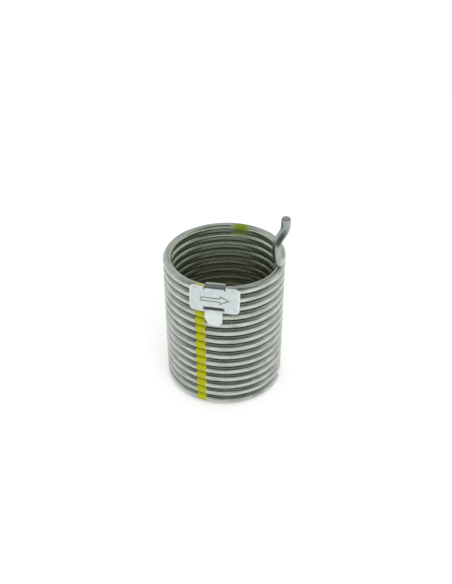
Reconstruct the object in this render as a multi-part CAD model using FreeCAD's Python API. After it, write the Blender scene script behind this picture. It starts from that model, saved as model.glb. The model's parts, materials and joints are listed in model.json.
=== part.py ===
"""Left-hand torsion spring of an overhead garage door, with its folded sheet tag.

One wire is wound close into a bore. Its lower end is cut square on the last turn.
Its upper end turns up out of the coil as a leg, which steps outward and ends straight.
The tag is one sheet: a plate in front, a strap over the top turn and down inside, and
a tongue that comes back out between two turns, through the plate's slot, and is folded
down over the plate.

Frame: millimetres, +Z up along the spring's axis, origin on the axis at the plane
that the spring stands on. The front is towards -Y.
"""
import FreeCAD
import Part

import math
import os

from FreeCAD import Placement, Rotation, Vector

# ---- the wire and its coil -------------------------------------------------------
WIRE_DIAMETER = 5.6
BORE_DIAMETER = 67.0
COIL_GAP = 0.55  # daylight between neighbouring turns
COIL_COUNT = 15  # whole turns
COIL_END_ANGLE = -17.0  # about Z from +X, where both ends of the coil lie

# ---- the leg at the upper end ----------------------------------------------------
ELBOW_RADIUS = 7.0  # to the wire's centre line, as the step's radius is
LEG_LEAN = 3.5  # the leg's tilt towards the axis, below its step
LEG_RISE = 6.8  # straight part above the elbow
STEP_RADIUS = 12.0
STEP_ANGLE = 26.0  # how far the middle of the step slopes outward
STEP_RUN = 5.5  # straight part in the middle of the step
LEG_END_LENGTH = 4.7  # straight end that a winding cone takes hold of
LEG_END_ROUNDING = 0.9  # of the cut end's edge

# ---- the tag's sheet and where it sits -------------------------------------------
SHEET = 0.45
TAG_ANGLE = -99.0  # about Z from +X, the middle of the tag
TAG_CLEARANCE = 0.05  # between the sheet and the wire beside it
TURNS_STRAPPED = 2  # turns that the strap goes round

# ---- the plate -------------------------------------------------------------------
PLATE_WIDTH = 31.0
PLATE_HEIGHT = 18.4
PLATE_BELOW_GAP = 4.8  # how far it reaches below the gap that the tongue comes out of
PLATE_CORNER_RADIUS = 3.0
RIM_WIDTH = 1.6  # the plate's edges slope back over this width
RIM_DEPTH = 0.6
END_LENGTH = 6.6  # of the plate's left end, which is bent back round the coil
END_ANGLE = 11.0
END_BEND = 8.0

# ---- the strap and the tongue ----------------------------------------------------
STRAP_WIDTH = 12.0
STRAP_RISE = 1.2  # of the strap's front bend above the turn that it crosses
STRAP_FALL = 0.8  # from its front bend to its back bend
STRAP_FRONT_BEND = 1.0  # these radii are to the middle of the sheet
STRAP_BACK_BEND = 1.9
STRAP_LOWER_BEND = 3.0
RELIEF_WIDTH = 0.8  # nick at each side of the strap's root
RELIEF_DEPTH = 0.4  # below the plate's rim
TONGUE_WIDTH = 11.0
TONGUE_DROP = 14.4  # its tip below the gap that it comes out of
TONGUE_SLOPE = 40.0  # below level, on its way out to the slot
TONGUE_FOLD = 0.9  # where it is folded down over the slot's lower edge
TONGUE_CORNERS = ((-1, 3.1, 5.4), (1, 2.4, 2.9))  # side, and what is cut off across and up
SLOT_WIDTH = 13.0
SLOT_CLEARANCE = 0.1  # below the tongue's fold
SLOT_OPENING = 0.9  # above the tongue, where the slot stays open

# ---- worked out from the sizes above ---------------------------------------------
WIRE_RADIUS = WIRE_DIAMETER / 2
COIL_RADIUS = BORE_DIAMETER / 2 + WIRE_RADIUS  # to the wire's centre line
PITCH = WIRE_DIAMETER + COIL_GAP
LEAD_ANGLE = math.degrees(math.atan2(PITCH, 2 * math.pi * COIL_RADIUS))
COIL_TOP = WIRE_RADIUS + PITCH * COIL_COUNT  # height of the wire's centre at the top end
UP = Vector(0, 0, 1)


def turned(vector, axis, angle):
    """The vector after a turn in degrees about an axis through the origin."""
    return Rotation(axis, angle).multVec(vector)


class BentWire:
    """A round wire that is bent on from where its end has come to."""

    def __init__(self, end, heading):
        self.end = end
        self.heading = heading.normalize()
        self.lengths = []

    def section(self):
        """The wire's cross section at its end."""
        circle = Part.makeCircle(WIRE_RADIUS, self.end, self.heading)
        return Part.Face(Part.Wire([circle]))

    def straight(self, length):
        self.lengths.append(self.section().extrude(self.heading * length))
        self.end = self.end + self.heading * length

    def bend(self, axis, angle, radius):
        """Turn the heading about an axis square to it, at a radius to the centre line."""
        to_centre = axis.cross(self.heading).normalize() * radius
        centre = self.end + to_centre
        self.lengths.append(self.section().revolve(centre, axis, angle))
        self.end = centre - turned(to_centre, axis, angle)
        self.heading = turned(self.heading, axis, angle)

    def round_end(self, radius):
        """Round the edge of the cut at the wire's end."""
        last = self.lengths[-1]
        rim = [e for e in last.Edges if e.CenterOfMass.distanceToPoint(self.end) < 1e-3]
        self.lengths[-1] = last.makeFillet(radius, rim)


def wind_coil():
    """The turns: the wire's section swept once along a left-hand helix.

    Returns the solid, and the upper end's place and heading.
    """
    helix = Part.makeHelix(PITCH, PITCH * COIL_COUNT, COIL_RADIUS, 0, True)
    helix.Placement = Placement(UP * WIRE_RADIUS, Rotation(UP, COIL_END_ANGLE))
    spine = helix.Edges[0]
    first, last = spine.ParameterRange
    section = Part.makeCircle(WIRE_RADIUS, spine.valueAt(first), spine.tangentAt(first))
    sweep = Part.BRepOffsetAPI.MakePipeShell(Part.Wire([spine]))
    sweep.setFrenetMode(True)
    sweep.add(Part.Wire([section]), False, False)
    sweep.build()
    sweep.makeSolid()
    return sweep.shape(), spine.valueAt(last), spine.tangentAt(last)


def bend_leg(end, heading):
    """The upper end bent up out of the coil, stepped outward and left straight."""
    outward = turned(Vector(1, 0, 0), UP, COIL_END_ANGLE)
    elbow_axis = turned(outward * -1, heading, LEG_LEAN)
    leg = BentWire(end, heading)
    leg.bend(elbow_axis, 90 - LEAD_ANGLE, ELBOW_RADIUS)
    leg.straight(LEG_RISE)
    step_axis = leg.heading.cross(outward).normalize()
    leg.bend(step_axis, LEG_LEAN + STEP_ANGLE, STEP_RADIUS)
    leg.straight(STEP_RUN)
    leg.bend(step_axis * -1, STEP_ANGLE, STEP_RADIUS)
    leg.straight(LEG_END_LENGTH)
    leg.round_end(LEG_END_ROUNDING)
    return leg


def make_spring():
    """The whole wire, which is one piece."""
    coil, end, heading = wind_coil()
    leg = bend_leg(end, heading)
    return coil.multiFuse(leg.lengths).Solids[0]


# ---- the tag, in a frame of its own ----------------------------------------------
# X runs along the turns to the right as seen from outside, -Y is outward from the
# spring's axis, and Z is square to the turns, from the middle of the gap that the
# tongue comes out of. Distances are from the spring's axis, in the tag's middle plane.

PLATE_TOP = PLATE_HEIGHT - PLATE_BELOW_GAP
PLATE_BACK = COIL_RADIUS + WIRE_RADIUS + TAG_CLEARANCE
RIM_FRONT = PLATE_BACK + SHEET
PLATE_FRONT = RIM_FRONT + RIM_DEPTH
STRAP_ROOT = PLATE_TOP - RIM_WIDTH - RELIEF_DEPTH
STRAP_FRONT_HEIGHT = TURNS_STRAPPED * PITCH - COIL_GAP / 2 + STRAP_RISE
STRAP_BACK_HEIGHT = STRAP_FRONT_HEIGHT - STRAP_FALL
STRAP_INSIDE = (
    math.sqrt((COIL_RADIUS - WIRE_RADIUS) ** 2 - (STRAP_WIDTH / 2) ** 2)
    - TAG_CLEARANCE
    - SHEET / 2
)
TONGUE_DISTANCE = PLATE_FRONT + TAG_CLEARANCE + SHEET / 2
TONGUE_BEND = WIRE_RADIUS + COIL_GAP / 2  # round the turn below the gap
TONGUE_TURN = COIL_RADIUS + TONGUE_BEND * math.tan(math.radians(TONGUE_SLOPE / 2))
TONGUE_KNEE = (TONGUE_TURN - TONGUE_DISTANCE) * math.tan(math.radians(TONGUE_SLOPE))


def at(distance, height):
    """A point in the tag's middle plane."""
    return Vector(0, -distance, height)


def folded_path(corners, radii):
    """The line of a folded sheet: straight runs, with an arc at each inner corner."""
    edges = []
    start = corners[0]
    for before, corner, after, radius in zip(corners, corners[1:], corners[2:], radii):
        back = (before - corner).normalize()
        ahead = (after - corner).normalize()
        half = back.getAngle(ahead) / 2
        reach = radius / math.tan(half)
        middle = corner + (back + ahead).normalize() * (radius / math.sin(half) - radius)
        bend_start = corner + back * reach
        bend_end = corner + ahead * reach
        if start.distanceToPoint(bend_start) > 1e-6:
            edges.append(Part.LineSegment(start, bend_start).toShape())
        edges.append(Part.Arc(bend_start, middle, bend_end).toShape())
        start = bend_end
    edges.append(Part.LineSegment(start, corners[-1]).toShape())
    return Part.Wire(edges)


def folded_strip(corners, radii, width):
    """A strip of the sheet, folded along its length."""
    along = (corners[1] - corners[0]).normalize()
    across = Vector(width / 2, 0, 0)
    through = along.cross(Vector(1, 0, 0)) * (SHEET / 2)
    signs = ((-1, -1), (1, -1), (1, 1), (-1, 1), (-1, -1))
    edge = [corners[0] + across * i + through * j for i, j in signs]
    section = Part.Face(Part.makePolygon(edge))
    return folded_path(corners, radii).makePipe(section)


def block(width, back, front, low, high):
    """A block across the tag's middle, between two distances and two heights."""
    return Part.makeBox(width, front - back, high - low, Vector(-width / 2, -front, low))


def rounded_block(inset, corner_radius, back, front):
    """The plate's outline, taken in by an inset, as a block between two distances."""
    blank = block(
        PLATE_WIDTH - 2 * inset, back, front, inset - PLATE_BELOW_GAP, PLATE_TOP - inset
    )
    corners = [e for e in blank.Edges if abs(e.tangentAt(e.FirstParameter).y) > 0.9]
    return blank.makeFillet(corner_radius, corners)


def front_outline(solid):
    """The outline of a block's front face."""
    return min(solid.Faces, key=lambda face: face.CenterOfMass.y).OuterWire


def make_plate():
    """The plate: a flat field, and a rim that slopes back all round."""
    rim = rounded_block(0, PLATE_CORNER_RADIUS, PLATE_BACK, RIM_FRONT)
    field = rounded_block(
        RIM_WIDTH, PLATE_CORNER_RADIUS - RIM_WIDTH, RIM_FRONT, PLATE_FRONT
    )
    slope = Part.makeLoft([front_outline(rim), front_outline(field)], True, True)
    pressing = rim.fuse(slope)
    plate = pressing.cut(pressing.translated(Vector(0, SHEET, 0)))
    root_width = STRAP_WIDTH + 2 * RELIEF_WIDTH
    opening = block(root_width, PLATE_BACK, PLATE_FRONT, STRAP_ROOT, PLATE_TOP)
    return bend_end_back(plate.cut(opening).cut(make_slot()))


def make_slot():
    """What the plate's slot takes out: the tongue's way through, and the opening above it."""
    slope = math.radians(TONGUE_SLOPE)
    way_to_field = PLATE_FRONT - SHEET - TONGUE_TURN
    highest = SHEET / 2 / math.cos(slope) - way_to_field * math.tan(slope)
    fold = math.radians(90 - TONGUE_SLOPE)
    lowest = TONGUE_KNEE - TONGUE_FOLD * math.tan(fold / 2)
    return block(
        SLOT_WIDTH, PLATE_BACK, PLATE_FRONT, lowest - SLOT_CLEARANCE, highest + SLOT_OPENING
    )


def bend_end_back(plate):
    """The plate with its left end bent back, at the same width of sheet."""
    turn = Rotation(UP, -END_ANGLE)
    bend_length = END_BEND * math.radians(END_ANGLE)
    line = END_LENGTH + bend_length - PLATE_WIDTH / 2
    axis = at(PLATE_FRONT - SHEET / 2 - END_BEND, 0) + Vector(line, 0, 0)
    reach = Vector(PLATE_WIDTH, PLATE_FRONT, PLATE_HEIGHT) * 2
    corner = Vector(line, -PLATE_FRONT * 2, -PLATE_HEIGHT)
    flat = plate.common(Part.makeBox(*reach, corner))
    end = plate.common(Part.makeBox(*reach, corner - Vector(reach.x + bend_length, 0, 0)))
    section = [face for face in flat.Faces if abs(face.BoundBox.XMax - line) < 1e-3]
    bends = [face.revolve(axis, UP * -1, END_ANGLE) for face in section]
    end.translate(Vector(bend_length, 0, 0))
    end.Placement = Placement(axis, turn) * Placement(axis * -1, Rotation()) * end.Placement
    return flat.multiFuse([*bends, end])


def make_strap():
    """From the plate's top over the turns, down inside them and into the gap."""
    middle_of_plate = PLATE_FRONT - SHEET / 2
    corners = [
        at(middle_of_plate, STRAP_ROOT),
        at(middle_of_plate, STRAP_FRONT_HEIGHT),
        at(STRAP_INSIDE, STRAP_BACK_HEIGHT),
        at(STRAP_INSIDE, 0),
        at(COIL_RADIUS, 0),
    ]
    radii = [STRAP_FRONT_BEND, STRAP_BACK_BEND, STRAP_LOWER_BEND]
    return folded_strip(corners, radii, STRAP_WIDTH)


def make_tongue():
    """From the gap out through the slot, and down over the plate to a cut tip."""
    corners = [
        at(COIL_RADIUS, 0),
        at(TONGUE_TURN, 0),
        at(TONGUE_DISTANCE, TONGUE_KNEE),
        at(TONGUE_DISTANCE, -TONGUE_DROP),
    ]
    tongue = folded_strip(corners, [TONGUE_BEND, TONGUE_FOLD], TONGUE_WIDTH)
    for side, across, up in TONGUE_CORNERS:
        tip = at(TONGUE_DISTANCE + SHEET, -TONGUE_DROP) + Vector(side * TONGUE_WIDTH / 2, 0, 0)
        corner = [tip, tip - Vector(side * across, 0, 0), tip + UP * up, tip]
        tongue = tongue.cut(Part.Face(Part.makePolygon(corner)).extrude(Vector(0, 2 * SHEET, 0)))
    return tongue


def make_tag():
    """The folded sheet, put on the turns at the upper end of the coil."""
    sheet = make_plate().multiFuse([make_strap(), make_tongue()]).removeSplitter()
    tag = sheet.Solids[0]
    share_of_turn = ((TAG_ANGLE - COIL_END_ANGLE) % 360) / 360
    gap_height = COIL_TOP - PITCH * (share_of_turn + TURNS_STRAPPED - 0.5)
    along_turns = Rotation(Vector(0, 1, 0), LEAD_ANGLE)
    to_side = Rotation(UP, TAG_ANGLE + 90)
    tag.Placement = Placement(UP * gap_height, to_side * along_turns)
    return tag


def main():
    os.makedirs("parts", exist_ok=True)
    for name, make in (("spring", make_spring), ("tag", make_tag)):
        solid = make()
        solid.exportStep(f"parts/{name}.step")
        print(f"{name}: {solid.Volume:.1f} mm3, valid {solid.isValid()}")


main()
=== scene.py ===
"""The looks of a garage door torsion spring: drawn steel wire and a folded sheet tag.

Sizes are in millimetres in each piece's own space, and become metres when the piece is
finished. Angles are in degrees. An azimuth is about +Z, counted from +X.
"""
import json
import logging
import math
from dataclasses import dataclass
from enum import Enum
from typing import Any

import bmesh
import bpy
from mathutils import Matrix, Vector, noise


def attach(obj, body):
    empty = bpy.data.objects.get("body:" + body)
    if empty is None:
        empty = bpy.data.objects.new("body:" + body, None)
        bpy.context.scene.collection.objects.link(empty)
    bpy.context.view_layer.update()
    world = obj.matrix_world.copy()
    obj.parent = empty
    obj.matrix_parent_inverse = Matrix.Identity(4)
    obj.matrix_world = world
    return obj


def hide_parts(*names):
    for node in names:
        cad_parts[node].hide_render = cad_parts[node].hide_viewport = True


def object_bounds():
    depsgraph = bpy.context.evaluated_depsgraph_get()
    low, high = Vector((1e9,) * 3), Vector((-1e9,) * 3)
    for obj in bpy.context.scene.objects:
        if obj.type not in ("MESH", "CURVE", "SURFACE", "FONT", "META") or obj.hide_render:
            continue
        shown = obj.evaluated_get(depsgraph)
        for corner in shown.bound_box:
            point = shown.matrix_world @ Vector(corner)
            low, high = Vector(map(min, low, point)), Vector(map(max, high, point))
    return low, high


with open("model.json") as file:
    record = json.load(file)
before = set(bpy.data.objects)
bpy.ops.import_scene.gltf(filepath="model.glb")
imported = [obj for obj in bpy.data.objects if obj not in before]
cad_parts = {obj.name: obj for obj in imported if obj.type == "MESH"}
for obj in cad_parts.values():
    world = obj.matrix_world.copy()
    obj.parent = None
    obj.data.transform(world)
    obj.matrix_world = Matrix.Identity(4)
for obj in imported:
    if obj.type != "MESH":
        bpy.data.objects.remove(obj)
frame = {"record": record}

CAD_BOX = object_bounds()
MM = 0.001
UP = Vector((0, 0, 1))
ACROSS = Vector((1, 0, 0))
STOCK = "stock"  # the attribute that holds a point's place before the stock was bent
HAIR = 1e-4  # a distance that counts as none where stock is fed or cut
NEAR = 1e-3  # a distance that counts as none where edges are looked for
WHITE = (1.0, 1.0, 1.0, 1.0)
Socket = bpy.types.NodeSocket
Triple = tuple[float, float, float]
Colour = Triple

log = logging.getLogger("spring")


def mount(name: str) -> dict[str, Any]:
    """Return the record's mount of that name."""
    return next(m for m in frame["record"]["mounts"] if m["name"] == name)


def radial(azimuth: float) -> Vector:
    """Return the level unit vector at an azimuth."""
    return Vector((math.cos(math.radians(azimuth)), math.sin(math.radians(azimuth)), 0))


def turned(vector: Vector, axis: Vector, angle: float) -> Vector:
    """Return the vector after a turn about an axis through the origin."""
    return Matrix.Rotation(math.radians(angle), 3, axis) @ vector


def place_piece(mesh: bmesh.types.BMesh, name: str, place: Matrix) -> bpy.types.Object:
    """Place a mesh made in millimetres, and free it.

    Args:
        mesh: The mesh.
        name: The object's name.
        place: Where the mesh goes in the spring's space, in millimetres.

    Returns:
        The object, which sits at the origin with its place in its mesh.
    """
    bmesh.ops.transform(mesh, matrix=Matrix.Scale(MM, 4) @ place, verts=mesh.verts)
    for face in mesh.faces:
        face.smooth = True
    data = bpy.data.meshes.new(name)
    mesh.to_mesh(data)
    mesh.free()
    piece = bpy.data.objects.new(name, data)
    bpy.context.scene.collection.objects.link(piece)
    return piece


# ---- how stock is fed and bent ---------------------------------------------------


class Bender:
    """Grows a form from its leading edges, as wire or sheet is fed out and bent."""

    def __init__(self, mesh: bmesh.types.BMesh, edges: list, end: Vector, heading: Vector) -> None:
        """Take up the leading edges.

        Args:
            mesh: The mesh to grow, with a stock layer whose X counts along the feed.
            edges: The edges that lead.
            end: The middle of the leading edges.
            heading: The way that the stock is fed.
        """
        self.mesh = mesh
        self.edges = edges
        self.end = end
        self.heading = heading.normalized()
        self.stock = mesh.verts.layers.float_vector[STOCK]

    def points(self) -> list:
        """Return the leading vertices."""
        return list({vert for edge in self.edges for vert in edge.verts})

    def take(self, made: list, length: float) -> None:
        """Let the new edges lead.

        Args:
            made: The new geometry.
            length: The length of stock that it took.
        """
        self.edges = [item for item in made if isinstance(item, bmesh.types.BMEdge)]
        for vert in self.points():
            vert[self.stock] += Vector((length, 0, 0))

    def feed(self, length: float, steps: int = 1) -> None:
        """Feed out straight stock.

        Args:
            length: The length to feed.
            steps: The number of rings or rows that are made.
        """
        for _ in range(steps):
            made = bmesh.ops.extrude_edge_only(self.mesh, edges=self.edges)["geom"]
            moved = [item for item in made if isinstance(item, bmesh.types.BMVert)]
            bmesh.ops.translate(self.mesh, verts=moved, vec=self.heading * (length / steps))
            self.take(made, length / steps)
        self.end = self.end + self.heading * length

    def wind(self, centre: Vector, axis: Vector, angle: float, rise: float, steps: int) -> None:
        """Wind the stock about an axis, with a rise along it.

        Args:
            centre: A point on the axis.
            axis: The axis, a unit vector. A positive angle is right-handed about it.
            angle: The whole angle.
            rise: How far the stock moves along the axis over the whole angle.
            steps: The number of rings or rows that are made.
        """
        reach = (self.end - centre) - (self.end - centre).project(axis)
        length = math.hypot(reach.length * math.radians(angle), rise) / steps
        for _ in range(steps):
            made = bmesh.ops.spin(
                self.mesh,
                geom=self.edges,
                cent=centre,
                axis=axis,
                dvec=axis * (rise / steps),
                angle=math.radians(angle) / steps,
                steps=1,
            )
            self.take(made["geom_last"], length)
        self.end = centre + turned(self.end - centre, axis, angle) + axis * rise
        self.heading = turned(self.heading, axis, angle)

    def bend(self, axis: Vector, angle: float, radius: float, steps: int) -> None:
        """Bend the stock about an axis square to its heading, at a radius to its middle."""
        centre = self.end + axis.cross(self.heading).normalized() * radius
        self.wind(centre, axis, angle, 0.0, steps)

    def follow(self, corners: list[Vector], radii: list[float], steps: int) -> None:
        """Feed along straight runs, with a bend at each inner corner.

        Args:
            corners: The path's corners, from where the stock is now.
            radii: The bend radius at each inner corner.
            steps: The rows in each run and in each bend.
        """
        for corner, after, radius in zip(corners[1:], corners[2:], radii):
            ahead = (after - corner).normalized()
            turn = self.heading.angle(ahead)
            reach = radius * math.tan(turn / 2)
            run = (corner - self.end).length - reach
            if run > HAIR:
                self.feed(run, steps)
            axis = self.heading.cross(ahead).normalized()
            self.bend(axis, math.degrees(turn), radius, steps)
        self.feed((corners[-1] - self.end).length, steps)

    def shrink(self, share: float) -> None:
        """Draw the leading edges in towards their middle.

        Args:
            share: Their new size, as a share of the old one.
        """
        ring = self.points()
        space = Matrix.Translation(-self.end)
        bmesh.ops.scale(self.mesh, vec=(share, share, share), space=space, verts=ring)
        for vert in ring:
            place = vert[self.stock]
            vert[self.stock] = Vector((place.x, place.y * share, place.z * share))


# ---- finishes --------------------------------------------------------------------


@dataclass(frozen=True)
class Grain:
    """A noise on the stock or on the object."""

    scale: float  # its frequency, per millimetre
    detail: float
    stretch: Triple = (1.0, 1.0, 1.0)  # of its frequency along each axis


@dataclass(frozen=True)
class Ramp:
    """An eased change from one value of an input to another."""

    start: float
    end: float
    low: float = 0.0  # what comes out at the start
    high: float = 1.0  # what comes out at the end


@dataclass(frozen=True)
class Band:
    """A stretch that fades in and out again."""

    rise: Ramp
    fall: Ramp


class NodeBench:
    """Adds shader nodes to one new material or world and joins them up."""

    def __init__(self, owner: bpy.types.ID, shader: str) -> None:
        """Take up the node tree.

        Args:
            owner: The material or world.
            shader: The name of its main shader.
        """
        owner.use_nodes = True
        self.owner = owner
        self.tree = owner.node_tree
        self.shader = self.tree.nodes[shader]

    @classmethod
    def of_finish(cls, name: str) -> "NodeBench":
        """Return the bench of a new material."""
        return cls(bpy.data.materials.new(name), "Principled BSDF")

    def join(self, socket: Socket, value: Any) -> None:
        """Fill an input.

        Args:
            socket: The input.
            value: A socket to link into it, or a plain value.
        """
        if isinstance(value, bpy.types.NodeSocket):
            self.tree.links.new(value, socket)
        else:
            socket.default_value = value

    def add(self, kind: str, inputs: dict[Any, Any], **options: Any) -> bpy.types.Node:
        """Add a node.

        Args:
            kind: The node's type.
            inputs: Values or sockets, by the input's name or number.
            options: The node's own settings.

        Returns:
            The new node.
        """
        node = self.tree.nodes.new(kind)
        for name, value in options.items():
            setattr(node, name, value)
        for key, value in inputs.items():
            self.join(node.inputs[key], value)
        return node

    def set(self, **inputs: Any) -> None:
        """Fill inputs of the main shader. An underscore stands for a space."""
        for name, value in inputs.items():
            self.join(self.shader.inputs[name.replace("_", " ")], value)

    def math(self, operation: str, *values: Any) -> Socket:
        """Return the result of a Math node."""
        inputs = dict(enumerate(values))
        return self.add("ShaderNodeMath", inputs, operation=operation).outputs[0]

    def product(self, first: Socket, *others: Any) -> Socket:
        """Return several values multiplied together.

        Args:
            first: The first value.
            others: The rest.

        Returns:
            Their product.
        """
        total = first
        for other in others:
            total = self.math("MULTIPLY", total, other)
        return total

    def hypot(self, first: Socket, second: Socket) -> Socket:
        """Return the length of a vector with these two parts."""
        squares = self.math("MULTIPLY_ADD", first, first, self.math("MULTIPLY", second, second))
        return self.math("SQRT", squares)

    def parts(self, vector: Socket) -> list[Socket]:
        """Return a vector's X, Y and Z."""
        return list(self.add("ShaderNodeSeparateXYZ", {0: vector}).outputs)

    def stretch(self, vector: Socket, scale: Triple) -> Socket:
        """Return a vector scaled by its own factor along each axis."""
        inputs = {0: vector, 1: scale}
        return self.add("ShaderNodeVectorMath", inputs, operation="MULTIPLY").outputs[0]

    def stock(self) -> Socket:
        """Return the point's place on the stock before bending, in millimetres."""
        return self.add("ShaderNodeAttribute", {}, attribute_name=STOCK).outputs["Vector"]

    def place(self) -> Socket:
        """Return the point's place on the object, in millimetres."""
        spot = self.add("ShaderNodeTexCoord", {}).outputs["Object"]
        return self.stretch(spot, (1 / MM, 1 / MM, 1 / MM))

    def noise(self, vector: Socket, grain: Grain) -> Socket:
        """Return a noise from 0 to 1.

        Args:
            vector: Where the point is, in millimetres.
            grain: The noise's scale and stretch.

        Returns:
            The noise.
        """
        spot = self.stretch(vector, grain.stretch)
        inputs = {"Vector": spot, "Scale": grain.scale, "Detail": grain.detail}
        return self.add("ShaderNodeTexNoise", inputs).outputs["Fac"]

    def ease(self, value: Socket, ramp: Ramp, origin: float = 0.0) -> Socket:
        """Return a value that follows a ramp.

        Args:
            value: The input.
            ramp: The ramp.
            origin: Where the ramp's start and end are counted from.

        Returns:
            The ramp's value.
        """
        inputs = {
            "Value": value,
            "From Min": origin + ramp.start,
            "From Max": origin + ramp.end,
            "To Min": ramp.low,
            "To Max": ramp.high,
        }
        node = self.add("ShaderNodeMapRange", inputs, interpolation_type="SMOOTHSTEP")
        return node.outputs["Result"]

    def band(self, value: Socket, band: Band) -> Socket:
        """Return 1 inside a band, 0 outside it, and what lies between where it fades."""
        return self.product(self.ease(value, band.rise), self.ease(value, band.fall))

    def blend(self, factor: Socket, first: Any, second: Any) -> Socket:
        """Return a colour between two.

        Args:
            factor: How much of the second colour there is, from 0 to 1.
            first: The first colour, as a socket or a plain colour.
            second: The second colour.

        Returns:
            The colour.
        """
        node = self.add("ShaderNodeMix", {0: factor}, data_type="RGBA")
        for index, value in ((6, first), (7, second)):  # the inputs for colours
            self.join(node.inputs[index], (*value, 1.0) if isinstance(value, tuple) else value)
        return node.outputs[2]  # the output for colours

    def bump(self, height: Socket, strength: float, depth: float) -> Socket:
        """Return a normal for a height, whose full range is a depth in millimetres."""
        inputs = {"Height": height, "Strength": strength, "Distance": depth * MM}
        return self.add("ShaderNodeBump", inputs).outputs["Normal"]


class PaintSide(Enum):
    """Which side of the coil a mark was painted from."""

    OUTSIDE = 1
    INSIDE = -1


@dataclass(frozen=True)
class PaintMark:
    """A mark of colour-code paint on the coil."""

    side: PaintSide
    azimuth: float
    width: float
    softness: float  # how far the mark's edge fades
    foot: float  # the height where it has faded away
    head: float  # the height where it is full
    colour: Colour
    edge: Grain = Grain(0.55, 3.0)
    stray: float = 2.4  # how far the grain moves the edges
    cling: float = 0.9  # how far round the wire's side the paint goes

    def mask(self, bench: NodeBench, coil_radius: float) -> Socket:
        """Return how far the paint covers a point, from 0 to 1.

        Args:
            bench: The material's bench.
            coil_radius: From the axis to the wire's middle.

        Returns:
            The cover.
        """
        spot = bench.place()
        x, y, z = bench.parts(spot)
        middle = radial(self.azimuth)
        ahead = bench.math("ADD", bench.product(x, middle.x), bench.product(y, middle.y))
        aside = bench.math("ADD", bench.product(y, middle.x), bench.product(x, -middle.y))
        moved = bench.math("SUBTRACT", bench.noise(spot, self.edge), 0.5)
        off = bench.math("ABSOLUTE", bench.math("MULTIPLY_ADD", moved, self.stray, aside))
        outer, inner = (self.width + self.softness) / 2, (self.width - self.softness) / 2
        within = bench.ease(off, Ramp(outer, inner))
        front = bench.math("GREATER_THAN", ahead, 0.0)
        beyond = bench.math("SUBTRACT", bench.hypot(ahead, aside), coil_radius)
        facing = bench.product(beyond, float(self.side.value))
        facing = bench.ease(facing, Ramp(-self.cling, self.cling))
        return bench.product(within, front, facing, bench.ease(z, Ramp(self.foot, self.head)))


@dataclass(frozen=True)
class Winding:
    """What the wire's finish depends on."""

    radius: float  # from the axis to the wire's middle
    top: float  # the height where the coil ends
    turn: float  # the length of wire in one turn
    length: float  # the length of wire in the coil, after which the leg begins


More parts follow.
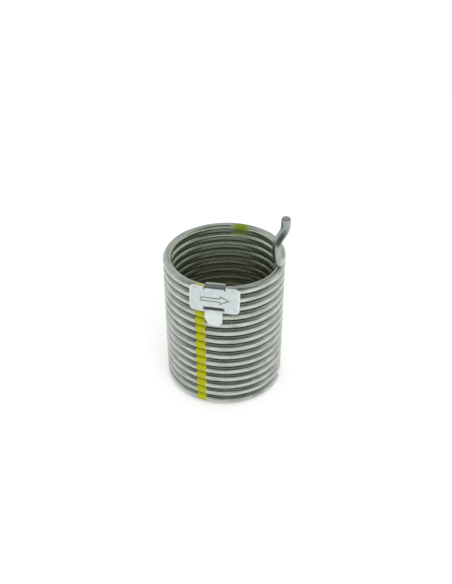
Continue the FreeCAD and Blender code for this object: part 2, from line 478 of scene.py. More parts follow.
@dataclass(frozen=True)
class DrawnSteel:
    """Drawn spring wire: grey-green steel with draw marks, a film inside and paint marks, with painted
    shade in the grooves and down the bore, and a painted dark reflection on the leg.

    On the wire's stock, X counts along the wire from the foot of the coil, and Y and Z from
    its middle. In the coil, +Y faces outward and +Z up.
    """

    winding: Winding
    bright: Colour = (0.59, 0.635, 0.585)
    dull: Colour = (0.38, 0.42, 0.38)
    stain: Colour = (0.16, 0.17, 0.14)
    film: Colour = (0.56, 0.655, 0.495)  # the thin film on the coil's inner side
    bore_shade: Colour = (0.19, 0.205, 0.115)  # painted shade, brown-olive, further down inside the bore
    groove_shade: Colour = (0.36, 0.385, 0.33)  # painted shade in the grooves between the turns
    handled: Colour = (0.27, 0.31, 0.285)  # the leg, dulled by the bending tools
    dark_reflection: Colour = (0.055, 0.065, 0.06)  # a painted dark reflection across the leg's step
    sheared: Colour = (0.30, 0.335, 0.31)  # the cut ends
    pip: Colour = (0.03, 0.03, 0.025)  # in the middle of a cut end

    streaks: Grain = Grain(3.2, 3.0, (0.03, 1.0, 1.0))  # the marks of the drawing die
    clouds: Grain = Grain(0.45, 4.0, (0.25, 1.0, 1.0))
    smears: Grain = Grain(1.3, 2.0, (0.05, 1.0, 1.0))
    specks: Grain = Grain(2.6, 2.0)
    nicks: Grain = Grain(1.5, 3.0)
    streak_share: float = 0.5  # how much of the wear follows the streaks
    cloud_share: float = 0.35  # how much of the bump follows the clouds
    worn: Ramp = Ramp(0.45, 1.05)  # from dull to bright
    smeared: Ramp = Ramp(0.5, 0.66, 0.0, 0.6)
    speckled: Ramp = Ramp(0.66, 0.76, 0.0, 0.6)

    leg_dulled: Ramp = Ramp(1.0, 9.0)  # along the leg, from its start
    leg_streaked: Ramp = Ramp(0.62, 0.4, 0.3, 1.0)
    leg_dark_reflection: Band = Band(Ramp(17.0, 22.0), Ramp(36.0, 28.0))  # along the leg
    reflection_middle: float = 0.7  # across the wire
    reflection_width: Ramp = Ramp(2.1, 0.8)  # to each side of the middle
    nicked: Ramp = Ramp(0.54, 0.62, 0.0, 0.75)
    nicked_from: Ramp = Ramp(27.0, 31.0)  # along the leg

    film_depth: Ramp = Ramp(0.8, 2.4, 0.0, 0.75)  # towards the axis from the wire's middle
    bore_shade_depth: Ramp = Ramp(-0.5, 1.3)
    bore_shade_fall: Ramp = Ramp(-4.0, -38.0)  # up from the coil's top
    film_end: Ramp = Ramp(0.0, -6.0)  # along the wire, from the leg's start
    upper_groove: Ramp = Ramp(2.0, 2.65)  # up from the wire's middle
    lower_groove: Ramp = Ramp(-2.3, -2.7)
    upper_groove_end: Ramp = Ramp(0.0, -12.0)  # along the wire, from the last turn's start
    lower_groove_start: Ramp = Ramp(0.0, 12.0)  # along the wire, from the first turn's end
    lower_groove_end: Ramp = Ramp(0.0, -3.0)  # along the wire, from the leg's start

    cut_edge: Ramp = Ramp(2.1, 1.6)  # out from the wire's middle
    pip_edge: Ramp = Ramp(0.75, 0.35)
    bareness: Ramp = Ramp(1.5, 2.1, 0.35, 1.0)  # how metallic it is, from the cut to the skin
    metallic: float = 0.95
    specular: float = 0.2  # of the paint
    roughness: Ramp = Ramp(0.3, 1.0, 0.15, 0.34)  # over the bump's heights
    bump_strength: float = 0.35
    bump_depth: float = 0.05

    def worn_steel(self, bench: NodeBench, streaks: Socket, clouds: Socket) -> Socket:
        """Return the colour of the bare wire.

        Args:
            bench: The material's bench.
            streaks: The noise of the draw marks.
            clouds: The noise of the wear.

        Returns:
            The colour.
        """
        stock = bench.stock()
        wear = bench.math("MULTIPLY_ADD", streaks, self.streak_share, clouds)
        steel = bench.blend(bench.ease(wear, self.worn), self.dull, self.bright)
        smears = bench.ease(bench.noise(stock, self.smears), self.smeared)
        steel = bench.blend(smears, steel, self.stain)
        specks = bench.ease(bench.noise(stock, self.specks), self.speckled)
        return bench.blend(specks, steel, self.stain)

    def tooled(self, bench: NodeBench, steel: Socket, streaks: Socket) -> Socket:
        """Add the marks that bending left on the leg, and a painted dark reflection on its step.

        Args:
            bench: The material's bench.
            steel: The wire's colour.
            streaks: The noise of the draw marks.

        Returns:
            The colour.
        """
        stock = bench.stock()
        x, y, _ = bench.parts(stock)
        along = bench.math("SUBTRACT", x, self.winding.length)
        streaky = bench.ease(streaks, self.leg_streaked)
        dulled = bench.product(bench.ease(along, self.leg_dulled), streaky)
        steel = bench.blend(dulled, steel, self.handled)
        # a painted dark reflection in a band across the leg's step
        aside = bench.math("ABSOLUTE", bench.math("SUBTRACT", y, self.reflection_middle))
        reflected = bench.product(bench.band(along, self.leg_dark_reflection), bench.ease(aside, self.reflection_width))
        steel = bench.blend(reflected, steel, self.dark_reflection)
        nicks = bench.ease(bench.noise(stock, self.nicks), self.nicked)
        nicks = bench.product(nicks, bench.ease(along, self.nicked_from))
        return bench.blend(nicks, steel, self.stain)

    def film_and_bore_shade(self, bench: NodeBench, steel: Socket) -> Socket:
        """Add the film on the coil's inner side, and painted shade that deepens down the bore.

        Args:
            bench: The material's bench.
            steel: The wire's colour.

        Returns:
            The colour.
        """
        x, y, z = bench.parts(bench.place())
        along = bench.parts(bench.stock())[0]
        depth = bench.math("SUBTRACT", self.winding.radius, bench.hypot(x, y))
        coiled = bench.ease(along, self.film_end, self.winding.length)
        film = bench.product(coiled, bench.ease(depth, self.film_depth))
        steel = bench.blend(film, steel, self.film)
        # painted shade that deepens down the bore
        down = bench.ease(z, self.bore_shade_fall, self.winding.top)
        bore_shade = bench.product(bench.ease(depth, self.bore_shade_depth), coiled, down)
        return bench.blend(bore_shade, steel, self.bore_shade)

    def shade_grooves(self, bench: NodeBench, steel: Socket) -> Socket:
        """Add painted shade in the grooves. The last turn has none above it, and the first none below.

        Args:
            bench: The material's bench.
            steel: The wire's colour.

        Returns:
            The colour.
        """
        along, _, up = bench.parts(bench.stock())
        turn, length = self.winding.turn, self.winding.length
        upper = bench.ease(up, self.upper_groove)
        upper = bench.product(upper, bench.ease(along, self.upper_groove_end, length - turn))
        lower = bench.ease(up, self.lower_groove)
        lower = bench.product(lower, bench.ease(along, self.lower_groove_start, turn))
        lower = bench.product(lower, bench.ease(along, self.lower_groove_end, length))
        # painted shade where the turns meet
        return bench.blend(bench.math("MAXIMUM", upper, lower), steel, self.groove_shade)

    def material(self, marks: list[PaintMark]) -> bpy.types.Material:
        """Make the wire's material.

        Args:
            marks: The paint marks on the coil.

        Returns:
            The material.
        """
        bench = NodeBench.of_finish("drawn_steel")
        stock = bench.stock()
        streaks = bench.noise(stock, self.streaks)
        clouds = bench.noise(stock, self.clouds)
        steel = self.worn_steel(bench, streaks, clouds)
        steel = self.tooled(bench, steel, streaks)
        _, y, z = bench.parts(stock)
        core = bench.hypot(y, z)
        steel = bench.blend(bench.ease(core, self.cut_edge), steel, self.sheared)
        steel = bench.blend(bench.ease(core, self.pip_edge), steel, self.pip)
        steel = self.film_and_bore_shade(bench, steel)
        steel = self.shade_grooves(bench, steel)
        bare = bench.ease(core, self.bareness)
        for mark in marks:
            mask = mark.mask(bench, self.winding.radius)
            steel = bench.blend(mask, steel, mark.colour)
            bare = bench.product(bare, bench.math("SUBTRACT", 1.0, mask))
        relief = bench.math("MULTIPLY_ADD", clouds, self.cloud_share, streaks)
        bench.set(
            Base_Color=steel,
            Metallic=bench.product(bare, self.metallic),
            Specular_IOR_Level=self.specular,
            Roughness=bench.ease(relief, self.roughness),
            Normal=bench.bump(relief, self.bump_strength, self.bump_depth),
        )
        return bench.owner


@dataclass(frozen=True)
class TagSheet:
    """Bright sheet that has been stamped, folded by hand and knocked about.

    On the sheet's stock, X counts up the plate from the gap, over the strap and down the
    tongue, and Y goes across. Z is the stamping's depth as a share, or the rim's below 0.
    """

    clean: Colour = (0.60, 0.66, 0.655)
    clouded: Colour = (0.53, 0.59, 0.59)
    scuffs_and_highlight: Colour = (0.70, 0.75, 0.745)  # scuffs on the rim and the tongue, and a painted highlight on the strap's crest
    strap_and_slot_shade: Colour = (0.17, 0.18, 0.185)  # painted shade on the strap's top and on the tongue inside the slot
    grime: Colour = (0.16, 0.17, 0.17)  # in the pits and in the stamping

    clouds: Grain = Grain(0.3, 4.0)
    rolling: Grain = Grain(4.0, 2.0, (1.0, 0.06, 1.0))
    pits: Grain = Grain(2.2, 3.0)
    rolling_share: float = 0.25  # how much of the bump follows the rolling marks
    cloudy: Ramp = Ramp(0.35, 0.65)
    pitted: Ramp = Ramp(0.64, 0.74, 0.0, 0.5)
    scuff_gaps: Ramp = Ramp(0.7, 0.5, 0.3, 1.0)  # over the pits

    rim: Ramp = Ramp(0.0, -0.6)
    # a painted highlight along the strap's back bend
    crest_highlight: Band = Band(Ramp(17.5, 18.5), Ramp(22.5, 21.0))
    tongue: Ramp = Ramp(40.0, 43.0, 0.0, 0.8)
    # where painted shade lies on the strap's flat top, and on the tongue inside the slot
    strap_top_shade: Band = Band(Ramp(12.2, 12.8), Ramp(18.0, 16.9))
    strap_shade_side: Ramp = Ramp(6.3, 6.0)
    slot_shade: Band = Band(Ramp(30.0, 34.0), Ramp(39.6, 39.0))
    stamped: Ramp = Ramp(0.1, 0.6, 0.0, 0.95)
    metallic: float = 0.7
    roughness: Ramp = Ramp(0.3, 0.7, 0.27, 0.46)
    bump_strength: float = 0.3
    bump_depth: float = 0.06

    def worn_sheet(self, bench: NodeBench, pits: Socket) -> Socket:
        """Return the sheet's colour.

        Args:
            bench: The material's bench.
            pits: The noise of the pits.

        Returns:
            The colour.
        """
        stock = bench.stock()
        along, across, pressed = bench.parts(stock)
        clouds = bench.ease(bench.noise(stock, self.clouds), self.cloudy)
        sheet = bench.blend(clouds, self.clean, self.clouded)
        sheet = bench.blend(bench.ease(pits, self.pitted), sheet, self.grime)
        # the rim and tongue are scuffed; the crest's band is a painted highlight
        edges = bench.math("MAXIMUM", bench.ease(pressed, self.rim), bench.band(along, self.crest_highlight))
        rubbed_and_highlit = bench.math("MAXIMUM", edges, bench.ease(along, self.tongue))
        rubbed_and_highlit = bench.product(rubbed_and_highlit, bench.ease(pits, self.scuff_gaps))
        sheet = bench.blend(rubbed_and_highlit, sheet, self.scuffs_and_highlight)
        # painted shade on the strap's flat top and on the tongue inside the slot
        strap = bench.ease(bench.math("ABSOLUTE", across), self.strap_shade_side)
        strap = bench.product(bench.band(along, self.strap_top_shade), strap)
        painted_shade_mask = bench.math("MAXIMUM", strap, bench.band(along, self.slot_shade))
        sheet = bench.blend(painted_shade_mask, sheet, self.strap_and_slot_shade)
        return bench.blend(bench.ease(pressed, self.stamped), sheet, self.grime)

    def material(self) -> bpy.types.Material:
        """Make the tag's material.

        Returns:
            The material.
        """
        bench = NodeBench.of_finish("tag_sheet")
        stock = bench.stock()
        pits = bench.noise(stock, self.pits)
        rolling = bench.noise(stock, self.rolling)
        relief = bench.math("MULTIPLY_ADD", rolling, self.rolling_share, pits)
        bench.set(
            Base_Color=self.worn_sheet(bench, pits),
            Metallic=self.metallic,
            Roughness=bench.ease(pits, self.roughness),
            Normal=bench.bump(relief, self.bump_strength, self.bump_depth),
        )
        return bench.owner


# ---- the spring ------------------------------------------------------------------


@dataclass
class Spring:
    """One wire, wound left-hand into a close coil, with a stepped leg at its upper end."""

    wire_radius: float = mount("leg_end")["dims"]["r_mm"]
    bore_radius: float = mount("bore")["dims"]["r_mm"]
    coil_length: float = mount("bore")["dims"]["length_mm"]
    turns: int = 15
    end_azimuth: float = -17.0
    elbow_radius: float = 7.0
    leg_lean: float = 3.5
    leg_rise: float = 6.8
    step_radius: float = 12.0
    step_angle: float = 26.0
    step_run: float = 5.5
    leg_end: float = mount("leg_end")["dims"]["length_mm"]
    leg_rounding: float = 0.9  # of the leg's cut end
    foot_rounding: float = 0.35  # of the cut at the foot of the coil
    dimple: tuple[tuple[float, float], ...] = (  # each ring's share of the last, and its depth
        (0.75, 0.0),
        (0.6, 0.05),
        (0.4, 0.1),
        (0.4, 0.15),
    )
    sides: int = 28
    turn_steps: int = 96
    elbow_steps: int = 14
    run_steps: int = 3
    step_steps: tuple[int, int] = (9, 8)
    rounding_steps: int = 5

    @property
    def coil_radius(self) -> float:
        """From the axis to the wire's middle."""
        return self.bore_radius + self.wire_radius

    @property
    def pitch(self) -> float:
        """From one turn to the next."""
        return (self.coil_length - 2 * self.wire_radius) / self.turns

    @property
    def lead_angle(self) -> float:
        """How steeply the wire climbs."""
        return math.degrees(math.atan2(self.pitch, math.tau * self.coil_radius))

    @property
    def coil_top(self) -> float:
        """The height of the wire's middle where the leg begins."""
        return self.wire_radius + self.pitch * self.turns

    def start_wire(self, mesh: bmesh.types.BMesh) -> Bender:
        """Make the wire's first ring, at the foot of the coil.

        Args:
            mesh: The mesh that takes it.

        Returns:
            A bender that holds the ring.
        """
        stock = mesh.verts.layers.float_vector.new(STOCK)
        ring = bmesh.ops.create_circle(mesh, radius=self.wire_radius, segments=self.sides)["verts"]
        for vert in ring:
            vert[stock] = Vector((0, vert.co.x, vert.co.y))
        outward = radial(self.end_azimuth)
        heading = turned(outward.cross(UP), outward, -self.lead_angle)
        upward = heading.cross(outward)
        start = outward * self.coil_radius + UP * self.wire_radius
        place = Matrix((outward, upward, heading)).transposed().to_4x4()
        bmesh.ops.transform(mesh, matrix=Matrix.Translation(start) @ place, verts=ring)
        return Bender(mesh, mesh.edges[:], start, heading)

    def bend_leg(self, bender: Bender) -> None:
        """Bend the wire up out of the coil, step it outward and leave it straight.

        Args:
            bender: The bender, at the end of the coil.
        """
        outward = radial(self.end_azimuth)
        elbow_axis = turned(-outward, bender.heading, self.leg_lean)
        bender.bend(elbow_axis, 90 - self.lead_angle, self.elbow_radius, self.elbow_steps)
        bender.feed(self.leg_rise, self.run_steps)
        step_axis = bender.heading.cross(outward).normalized()
        step_out, step_back = self.step_steps
        bender.bend(step_axis, self.leg_lean + self.step_angle, self.step_radius, step_out)
        bender.feed(self.step_run, self.run_steps)
        bender.bend(-step_axis, self.step_angle, self.step_radius, step_back)
        bender.feed(self.leg_end, self.run_steps)

    def close_cut(self, bender: Bender, rounding: float) -> None:
        """Round the wire's edge where it was sheared, and close its end.

        Args:
            bender: The bender, at the cut.
            rounding: The radius of the edge.
        """
        angles = [math.radians(90 * step / self.rounding_steps) for step in range(self.rounding_steps + 1)]
        for before, angle in zip(angles, angles[1:]):
            bender.feed(rounding * (math.sin(angle) - math.sin(before)))
            rim = self.wire_radius - rounding * (1 - math.cos(angle))
            last = self.wire_radius - rounding * (1 - math.cos(before))
            bender.shrink(rim / last)
        for share, sink in self.dimple:
            bender.feed(-sink)
            bender.shrink(share)
        bmesh.ops.edgeloop_fill(bender.mesh, edges=bender.edges)

    def build(self) -> bpy.types.Object:
        """Make the whole wire.

        Returns:
            The wire, as one piece.
        """
        mesh = bmesh.new()
        bender = self.start_wire(mesh)
        foot = Bender(mesh, list(bender.edges), bender.end, -bender.heading)
        self.close_cut(foot, self.foot_rounding)
        rise = self.pitch * self.turns
        bender.wind(Vector(), UP, -360.0 * self.turns, rise, self.turn_steps * self.turns)
        self.bend_leg(bender)
        self.close_cut(bender, self.leg_rounding)
        bmesh.ops.recalc_face_normals(mesh, faces=mesh.faces)
        return place_piece(mesh, "wound_wire", Matrix.Identity(4))

    def marks(self) -> list[PaintMark]:
        """Lay out the colour-code paint.

        Returns:
            A stripe outside, and overspray on the two top turns inside.
        """
        top = self.coil_top + self.wire_radius
        outside = PaintMark(
            side=PaintSide.OUTSIDE,
            azimuth=-113.0,
            width=6.6,
            softness=0.5,
            foot=-2.0,
            head=-1.0,
            colour=(0.45, 0.465, 0.006),
        )
        inside = PaintMark(
            side=PaintSide.INSIDE,
            azimuth=71.0,
            width=11.0,
            softness=6.0,
            foot=top - 2.1 * self.pitch,
            head=top - 0.9 * self.pitch,
            # the stripe's yellow darkened: painted shade inside the bore
            colour=(0.19, 0.245, 0.018),
        )
        return [outside, inside]

    def dress(self, piece: bpy.types.Object) -> None:
        """Give the wire its finish and its place in the frame.

        Args:
            piece: The wire.
        """
        turn = math.hypot(math.tau * self.coil_radius, self.pitch)
        winding = Winding(self.coil_radius, self.coil_top, turn, self.turns * turn)
        piece.data.materials.append(DrawnSteel(winding).material(self.marks()))
        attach(piece, "root")
        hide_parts("spring")


# ---- the tag ---------------------------------------------------------------------


@dataclass(frozen=True)
class StampedArrow:
    """The outline of an arrow that is pressed into the plate and shows the way to wind."""

    tail: float = -8.0
    neck: float = 3.6
    tip: float = 9.0
    shaft: float = 1.15  # half its width
    head: float = 2.75  # half its width
    height: float = 4.7  # of its middle
    stroke: float = 0.6  # half the width of a line
    depth: float = 0.3

    def lines(self) -> list[tuple[Vector, Vector]]:
        """Lay out the arrow.

        Returns:
            The two ends of each line.
        """
        back = [(self.tip, 0.0), (self.neck, self.head), (self.neck, self.shaft), (self.tail, self.shaft)]
        front = [(x, -z) for x, z in reversed(back[1:])]
        points = [Vector((x, z + self.height)) for x, z in front + back]
        return list(zip(points, points[1:] + points[:1]))

    def share(self, x: float, z: float) -> float:
        """Work out how far a point of the plate is pressed in.

        Args:
            x: The point's place across the plate.
            z: The point's height.

        Returns:
            The share of the full depth.
        """
        spot = Vector((x, z))
        nearest = self.stroke
        for start, end in self.lines():
            run = end - start
            along = max(0.0, min(1.0, (spot - start).dot(run) / run.length_squared))
            nearest = min(nearest, (spot - start - run * along).length)
        share = 1 - nearest / self.stroke
        return share * share * (3 - 2 * share)


@dataclass
class Tag:
    """A folded sheet: a stamped plate, a strap over the end turns and a tongue.

    It is made in a space of its own. X runs along the turns, -Y is outward from the
    spring's axis, and Z is square to the turns, from the gap that the tongue comes out of.
    """

    spring: Spring
    arrow: StampedArrow = StampedArrow()
    sheet: float = 0.45
    azimuth: float = -99.0
    clearance: float = 0.05
    turns_strapped: int = 2
    width: float = 31.0
    height: float = 18.4
    below_gap: float = 4.8
    corner_radius: float = 3.0
    rim_width: float = 1.6
    rim_depth: float = 0.6
    end_length: float = 6.6  # of the plate's left end, which is bent back round the coil
    end_angle: float = 11.0
    end_bend: float = 8.0
    warp_depth: float = 0.16  # how far the plate's field is from flat
    warp_scale: float = 0.12
    warp_layer: float = 3.0  # the noise's third coordinate
    strap_width: float = 12.0
    strap_rise: float = 1.2
    strap_fall: float = 0.8
    bend_radii: tuple[float, ...] = (1.0, 1.9, 3.0)  # of the strap, front to back
    relief_width: float = 0.8
    relief_depth: float = 0.4
    tongue_width: float = 11.0
    tongue_drop: float = 14.4
    tongue_slope: float = 40.0  # below level, on its way out to the slot
    tongue_fold: float = 0.9
    tongue_corners: tuple[tuple[int, float, float], ...] = (  # side, and how much is cut off
        (-1, 3.1, 5.4),
        (1, 2.4, 2.9),
    )
    tip_margin: float = 0.5  # from the plate's foot down to the part whose corners are cut
    slot_width: float = 13.0
    slot_clearance: float = 0.1
    slot_opening: float = 0.9
    cell: float = 0.25
    strap_steps: int = 8
    tongue_steps: int = 12

    @property
    def gap(self) -> float:
        """The daylight between neighbouring turns."""
        return self.spring.pitch - 2 * self.spring.wire_radius

    @property
    def plate_top(self) -> float:
        """The height of the plate's upper edge."""
        return self.height - self.below_gap

    @property
    def plate_middle(self) -> float:
        """The height of the plate's middle."""
        return self.plate_top - self.height / 2

    @property
    def rim_middle(self) -> float:
        """From the axis to the middle of the sheet at the plate's edge."""
        outside = self.spring.coil_radius + self.spring.wire_radius
        return outside + self.clearance + self.sheet / 2

    @property
    def field_middle(self) -> float:
        """From the axis to the middle of the sheet in the plate's field."""
        return self.rim_middle + self.rim_depth

    @property
    def strap_root(self) -> float:
        """The height where the strap leaves the plate."""
        return self.plate_top - self.rim_width - self.relief_depth

    @property
    def tongue_bend(self) -> float:
        """The tongue's bend round the turn below the gap."""
        return self.spring.wire_radius + self.gap / 2

    @property
    def tongue_turn(self) -> float:
        """From the axis to the corner where the tongue turns down."""
        slope = math.radians(self.tongue_slope)
        return self.spring.coil_radius + self.tongue_bend * math.tan(slope / 2)

    @property
    def tongue_middle(self) -> float:
        """From the axis to the middle of the sheet in the tongue."""
        return self.field_middle + self.sheet + self.clearance

    @property
    def tongue_knee(self) -> float:
        """The height of the corner where the tongue is folded down over the plate."""
        return (self.tongue_turn - self.tongue_middle) * math.tan(math.radians(self.tongue_slope))

    def slot_span(self) -> tuple[float, float]:
        """Work out the slot that lets the tongue through.

        Returns:
            The heights of the slot's lower and upper edge.
        """
        slope = math.radians(self.tongue_slope)
        way_to_field = self.field_middle - self.sheet / 2 - self.tongue_turn
        high = self.sheet / 2 / math.cos(slope) - way_to_field * math.tan(slope)
        low = self.tongue_knee - self.tongue_fold * math.tan((math.pi / 2 - slope) / 2)
        return low - self.slot_clearance, high + self.slot_opening

    @staticmethod
    def score(mesh: bmesh.types.BMesh, spot: float, across: Vector) -> None:
        """Divide the plate's faces along a line square to a direction."""
        everything = mesh.verts[:] + mesh.edges[:] + mesh.faces[:]
        bmesh.ops.bisect_plane(mesh, geom=everything, dist=HAIR, plane_co=across * spot, plane_no=across)

    def open_window(
        self, mesh: bmesh.types.BMesh, sides: tuple[float, float], heights: tuple[float, float]
    ) -> None:
        """Cut a rectangle out of the plate.

        Args:
            mesh: The plate.
            sides: Where the window's left and right edge are.
            heights: Where its lower and upper edge are.
        """
        for spots, across in ((sides, ACROSS), (heights, UP)):
            for spot in spots:
                self.score(mesh, spot, across)
        (left, right), (low, high) = sides, heights
        inside = []
        for face in mesh.faces:
            middle = face.calc_center_median()
            if left < middle.x < right and low < middle.z < high:
                inside.append(face)
        bmesh.ops.delete(mesh, geom=inside, context="FACES")

    def edge_distance(self, x: float, z: float) -> float:
        """Work out how far a point lies inside the plate's rounded outline.

        Args:
            x: The point's place across the plate.
            z: The point's height.

        Returns:
            The distance, which is below 0 outside the outline.
        """
        over_x = abs(x) - (self.width / 2 - self.corner_radius)
        over_z = abs(z - self.plate_middle) - (self.height / 2 - self.corner_radius)
        outside = math.hypot(max(over_x, 0.0), max(over_z, 0.0))
        return self.corner_radius - outside - min(max(over_x, over_z), 0.0)

    def round_corners(self, mesh: bmesh.types.BMesh) -> None:
        """Trim the plate's corners to their radius.

        Args:
            mesh: The plate.
        """
        cut = []
        for face in mesh.faces:
            spot = face.calc_center_median()
            if self.edge_distance(spot.x, spot.z) < 0:
                cut.append(face)
        bmesh.ops.delete(mesh, geom=cut, context="FACES")
        for vert in mesh.verts:
            side = math.copysign(1, vert.co.x)
            end = math.copysign(1, vert.co.z - self.plate_middle)
            corner_x = side * (self.width / 2 - self.corner_radius)
            corner_z = end * (self.height / 2 - self.corner_radius) + self.plate_middle
            arm = Vector((vert.co.x - corner_x, 0, vert.co.z - corner_z))
            if vert.is_boundary and arm.x * side > 0 and arm.z * end > 0:
                arm = arm.normalized() * self.corner_radius
                vert.co.x = corner_x + arm.x
                vert.co.z = corner_z + arm.z

    def bent_back(self, spot: Vector) -> Vector:
        """Work out where a point goes when the flat plate's left end is bent back.

        Args:
            spot: The point.

        Returns:
            Its new place.
        """
        bend_length = self.end_bend * math.radians(self.end_angle)
        line = self.end_length + bend_length - self.width / 2
        beyond = line - spot.x
        if beyond <= 0:
            return spot
        angle = math.radians(self.end_angle) * min(1.0, beyond / bend_length)
        rest = max(0.0, beyond - bend_length)
        axis = self.field_middle - self.end_bend
        reach = -spot.y - axis
        x = line - reach * math.sin(angle) - rest * math.cos(angle)
        distance = axis + reach * math.cos(angle) - rest * math.sin(angle)
        return Vector((x, -distance, spot.z))

    def press_plate(self, mesh: bmesh.types.BMesh) -> None:
        """Give the flat plate its sloping rim, its stamping and its bent end.

        Args:
            mesh: The plate, which is given its stock layer.
        """
        stock = mesh.verts.layers.float_vector.new(STOCK)
        for vert in mesh.verts:
            x, z = vert.co.x, vert.co.z
            slope = max(0.0, 1 - self.edge_distance(x, z) / self.rim_width)
            pressed = self.arrow.share(x, z)
            vert[stock] = Vector((z, x, pressed - slope))
            warp = noise.noise(Vector((x * self.warp_scale, z * self.warp_scale, self.warp_layer)))
            proud = self.warp_depth * warp * (1 - slope)
            sunk = slope * self.rim_depth + pressed * self.arrow.depth
            vert.co.y = -(self.field_middle - sunk + proud)
            vert.co = self.bent_back(vert.co)

    def make_plate(self, mesh: bmesh.types.BMesh) -> None:
        """Make the plate from a fine net, with its window for the strap and its slot.

        Args:
            mesh: The mesh that takes it.
        """
        columns = round(self.width / self.cell)
        rows = round(self.height / self.cell)
        bmesh.ops.create_grid(mesh, x_segments=columns, y_segments=rows, size=0.5)
        spread = max(vert.co.x for vert in mesh.verts) * 2
        for vert in mesh.verts:
            across, along = vert.co.x / spread, vert.co.y / spread
            vert.co = Vector((across * self.width, 0, along * self.height + self.plate_middle))
        root = self.strap_width / 2 + self.relief_width
        self.open_window(mesh, (-root, root), (self.strap_root, self.plate_top + self.cell))
        self.open_window(mesh, (-self.slot_width / 2, self.slot_width / 2), self.slot_span())
        for side in (-1, 1):
            self.score(mesh, side * self.strap_width / 2, ACROSS)
        self.round_corners(mesh)
        self.press_plate(mesh)

    def strap_edges(self, mesh: bmesh.types.BMesh) -> list:
        """Find the plate's edges that the strap grows from.

        Args:
            mesh: The plate.

        Returns:
            The edges.
        """
        half = self.strap_width / 2 + NEAR
        lead = []
        for edge in mesh.edges:
            level = all(abs(vert.co.z - self.strap_root) < NEAR for vert in edge.verts)
            if level and edge.is_boundary and all(abs(vert.co.x) < half for vert in edge.verts):
                lead.append(edge)
        return lead

    def make_strap(self, mesh: bmesh.types.BMesh) -> None:
        """Carry the strap over the turns and back out as the tongue.

        Args:
            mesh: The plate, which takes them.
        """
        front = self.turns_strapped * self.spring.pitch - self.gap / 2 + self.strap_rise
        chord = math.sqrt(self.spring.bore_radius**2 - (self.strap_width / 2) ** 2)
        inside = chord - self.clearance - self.sheet / 2
        start = Vector((0, -self.field_middle, self.strap_root))
        bender = Bender(mesh, self.strap_edges(mesh), start, UP)
        corners = [
            start,
            Vector((0, -self.field_middle, front)),
            Vector((0, -inside, front - self.strap_fall)),
            Vector((0, -inside, 0)),
            Vector((0, -self.spring.coil_radius, 0)),
        ]
        bender.follow(corners, list(self.bend_radii), self.strap_steps)
        share = self.tongue_width / self.strap_width
        bmesh.ops.scale(mesh, vec=(share, 1, 1), verts=bender.points())
        corners = [
            corners[-1],
            Vector((0, -self.tongue_turn, 0)),
            Vector((0, -self.tongue_middle, self.tongue_knee)),
            Vector((0, -self.tongue_middle, -self.tongue_drop)),
        ]
        bender.follow(corners, [self.tongue_bend, self.tongue_fold], self.tongue_steps)

    def trim_tongue(self, mesh: bmesh.types.BMesh) -> None:
        """Cut the tongue's lower corners off.

        Args:
            mesh: The whole sheet.
        """
        tip = [vert for vert in mesh.verts if vert.co.z < -self.below_gap - self.tip_margin]
        faces = {face for vert in tip for face in vert.link_faces}
        edges = {edge for face in faces for edge in face.edges}
        for side, across, up in self.tongue_corners:
            geometry = [item for item in [*faces, *edges] if item.is_valid]
            points = {vert for item in geometry for vert in item.verts}
            made = bmesh.ops.bisect_plane(
                mesh,
                geom=[*points, *geometry],
                dist=HAIR,
                plane_co=Vector((side * self.tongue_width / 2, 0, -self.tongue_drop + up)),
                plane_no=Vector((side * up, 0, -across)).normalized(),
                clear_outer=True,
            )["geom"]
            faces = {item for item in made if isinstance(item, bmesh.types.BMFace)}
            edges = {item for item in made if isinstance(item, bmesh.types.BMEdge)}

    def place(self) -> Matrix:
        """Work out where the tag goes on the turns at the upper end of the coil.

        Returns:
            The tag's place in the spring's space.
        """
        share = ((self.azimuth - self.spring.end_azimuth) % 360) / 360
        height = self.spring.coil_top - self.spring.pitch * (share + self.turns_strapped - 0.5)
        side = Matrix.Rotation(math.radians(self.azimuth + 90), 4, "Z")
        lead = Matrix.Rotation(math.radians(self.spring.lead_angle), 4, "Y")
        return Matrix.Translation(UP * height) @ side @ lead

    def build(self) -> bpy.types.Object:
        """Make the folded sheet.

        Returns:
            The sheet, as one piece.
        """
        mesh = bmesh.new()
        self.make_plate(mesh)
        self.make_strap(mesh)
        self.trim_tongue(mesh)
        bmesh.ops.recalc_face_normals(mesh, faces=mesh.faces)
        piece = place_piece(mesh, "folded_tag", self.place())
        wall = piece.modifiers.new("sheet", "SOLIDIFY")
        wall.thickness = self.sheet * MM
        wall.offset = 0.0
        return piece

    def dress(self, piece: bpy.types.Object) -> None:
        """Give the tag its finish and its place in the frame.

        Args:
            piece: The tag.
        """
        piece.data.materials.append(TagSheet().material())
        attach(piece, "root")
        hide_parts("tag")


# ---- the studio ------------------------------------------------------------------


@dataclass(frozen=True)
class SoftBox:
    """A rectangular lamp, placed about the middle of the coil's top turn, in metres."""

    name: str
    azimuth: float
    elevation: float
    distance: float
    width: float
    height: float
    radiance: float


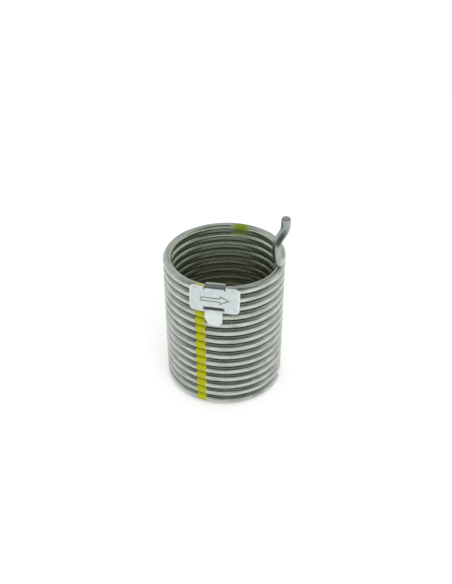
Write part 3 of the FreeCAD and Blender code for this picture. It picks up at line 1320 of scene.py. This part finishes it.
@dataclass
class Studio:
    """A white table in a white room, a soft lamp and the camera. Distances are in metres."""

    aim: Vector  # the middle of the coil's top turn
    elevation: float = 31.14
    distance: float = 0.4818
    tilt: float = 34.134  # the camera's own angle below level
    pan: float = -0.157
    lens: float = 46.80
    near: float = 0.01  # the nearest that the camera shows
    floor_size: float = 8.0
    floor_colour: Colour = (0.86, 0.86, 0.86)
    floor_roughness: float = 0.9
    floor_glow: float = 0.3  # in camera, glossy and transmission rays
    room_light: float = 0.8  # of the walls, as a light on what isn't polished
    overhead: Ramp = Ramp(0.0, 0.67, 1.0, 0.09)  # the room's brightness, from level up
    backdrop: Ramp = Ramp(-0.35, 0.05, 0.0, 0.65)  # its least brightness, from front to back
    key: SoftBox = SoftBox("key", -75.0, 45.0, 1.0, 0.6, 0.5, 3.2)

    def camera(self) -> None:
        """Set the camera up."""
        data = bpy.data.cameras.new("camera")
        data.lens = self.lens
        data.clip_start = self.near
        camera = bpy.data.objects.new("camera", data)
        angle = math.radians(self.elevation)
        camera.location = self.aim + Vector((0, -math.cos(angle), math.sin(angle))) * self.distance
        camera.rotation_euler = (math.radians(90 - self.tilt), 0, math.radians(self.pan))
        bpy.context.scene.collection.objects.link(camera)
        bpy.context.scene.camera = camera

    @staticmethod
    def seen(bench: NodeBench) -> Socket:
        """Tell the rays that show the background from the rest.

        Args:
            bench: The bench of the material or world.

        Returns:
            1 for camera, glossy and transmission rays, and 0 for the rest.
        """
        path = bench.add("ShaderNodeLightPath", {}).outputs
        total = path["Is Camera Ray"]
        for name in ("Is Glossy Ray", "Is Transmission Ray"):
            total = bench.math("MAXIMUM", total, path[name])
        return total

    def floor(self) -> None:
        """Lay the white table that the spring stands on."""
        mesh = bmesh.new()
        bmesh.ops.create_grid(mesh, x_segments=1, y_segments=1, size=self.floor_size / 2 / MM)
        piece = place_piece(mesh, "table", Matrix.Translation(UP * (CAD_BOX[0][2] / MM)))
        bench = NodeBench.of_finish("table_white")
        bench.set(
            Base_Color=(*self.floor_colour, 1.0),
            Roughness=self.floor_roughness,
            Emission_Color=WHITE,
            Emission_Strength=bench.product(self.seen(bench), self.floor_glow),
        )
        piece.data.materials.append(bench.owner)

    def room(self) -> None:
        """Make the room: plain white to the camera, and for the rest dimmer overhead."""
        bench = NodeBench(bpy.data.worlds.new("room"), "Background")
        bpy.context.scene.world = bench.owner
        _, behind, up = bench.parts(bench.add("ShaderNodeTexCoord", {}).outputs["Generated"])
        shown = bench.math("MAXIMUM", bench.ease(up, self.overhead), bench.ease(behind, self.backdrop))
        inputs = {0: self.seen(bench), 2: self.room_light, 3: shown}
        strength = bench.add("ShaderNodeMix", inputs).outputs[0]
        to_camera = bench.add("ShaderNodeLightPath", {}).outputs["Is Camera Ray"]
        bench.set(Color=WHITE, Strength=bench.math("MAXIMUM", strength, to_camera))

    def hang(self, lamp: SoftBox) -> None:
        """Hang a soft box that points at the middle of the top turn and shows in no gloss.

        Args:
            lamp: The soft box.
        """
        data = bpy.data.lights.new(lamp.name, "AREA")
        data.shape = "RECTANGLE"
        data.size = lamp.width
        data.size_y = lamp.height
        data.energy = lamp.radiance * math.pi * lamp.width * lamp.height
        angle = math.radians(lamp.elevation)
        spot = (radial(lamp.azimuth) * math.cos(angle) + UP * math.sin(angle)) * lamp.distance
        piece = bpy.data.objects.new(lamp.name, data)
        piece.location = self.aim + spot
        piece.rotation_euler = (-spot).to_track_quat("-Z", "Y").to_euler()
        piece.visible_glossy = False
        bpy.context.scene.collection.objects.link(piece)

    def build(self) -> None:
        """Set up the whole studio."""
        self.camera()
        self.floor()
        self.room()
        self.hang(self.key)
        bpy.context.scene.view_settings.view_transform = "Standard"


def main() -> None:
    """Build and dress each piece, then set up the studio."""
    logging.basicConfig(level=logging.INFO)
    spring = Spring()
    for maker in (spring, Tag(spring)):
        piece = maker.build()
        maker.dress(piece)
        log.info("%s: %d faces", piece.name, len(piece.data.polygons))
    Studio(aim=UP * (spring.coil_top * MM)).build()


if __name__ == "__main__":
    main()
